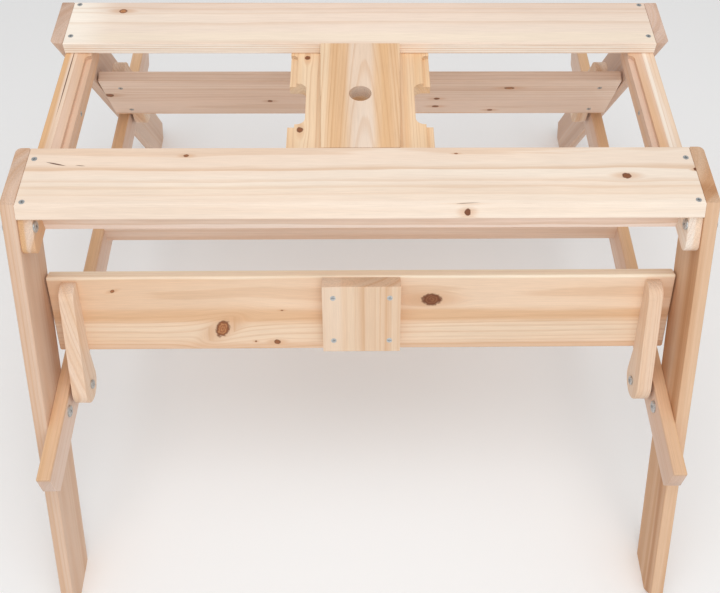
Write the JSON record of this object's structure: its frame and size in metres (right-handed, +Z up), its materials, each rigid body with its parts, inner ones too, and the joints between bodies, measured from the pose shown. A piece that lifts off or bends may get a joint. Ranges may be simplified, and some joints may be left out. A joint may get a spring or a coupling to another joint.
{
  "type": "sand and water table",
  "caption": "Splayed-leg softwood play table frame with open bays for sand and water tubs, a parasol hole and two fold-up benches.",
  "frame": {"origin": "on the floor under the middle of the table", "axes": "+Z up, X along the table's length and its benches, -Y towards the front bench"},
  "size_m": [0.9012, 1.0406, 0.55],
  "materials": {
    "planed_pine": "planed, unfinished softwood",
    "planed_fir": "planed, unfinished softwood",
    "zinc_steel": "bright zinc plating",
    "brass": "plain"
  },
  "bodies": {
    "frame": {"front_top_board": "planed_pine", "front_apron": "planed_pine", "front_left_leg": "planed_fir", "front_right_leg": "planed_fir", "rear_top_board": "planed_pine", "rear_apron": "planed_pine", "rear_left_leg": "planed_fir", "rear_right_leg": "planed_fir", "left_side_rail": "planed_pine", "left_tub_cleat": "planed_pine", "left_bench_bar": "planed_fir", "right_side_rail": "planed_pine", "right_tub_cleat": "planed_pine", "right_bench_bar": "planed_fir", "centre_top_board": "planed_pine", "centre_support_board": "planed_pine", "lower_cross_rail": "planed_pine", "leg_rail_bolts": "zinc_steel", "leg_rail_sleeve_nuts": "zinc_steel", "leg_bar_bolts": "zinc_steel", "leg_bar_sleeve_nuts": "zinc_steel", "top_board_screws": "zinc_steel", "apron_screws": "zinc_steel", "centre_board_screws": "zinc_steel", "cleat_screws": "zinc_steel", "cross_rail_screws": "zinc_steel", "pivot_bolts": "zinc_steel", "pivot_spacers": "zinc_steel", "pivot_inserts": "brass"},
    "front_bench": {"front_bench_board": "planed_fir", "front_bench_batten": "planed_fir", "front_left_bench_arm": "planed_fir", "front_right_bench_arm": "planed_fir", "front_bench_arm_screws": "zinc_steel", "front_batten_screws": "zinc_steel"},
    "rear_bench": {"rear_bench_board": "planed_fir", "rear_bench_batten": "planed_fir", "rear_left_bench_arm": "planed_fir", "rear_right_bench_arm": "planed_fir", "rear_bench_arm_screws": "zinc_steel", "rear_batten_screws": "zinc_steel"}
  },
  "joints": [
    {"name": "front_bench_fold", "type": "hinge", "parent": "frame", "child": "front_bench", "pos_m": [0, -0.289, 0.2653], "axis": [1, 0, 0], "range_deg": [-17, 112]},
    {"name": "rear_bench_fold", "type": "hinge", "parent": "frame", "child": "rear_bench", "pos_m": [0, 0.293, 0.2653], "axis": [-1, 0, 0], "range_deg": [-17, 112]}
  ]
}
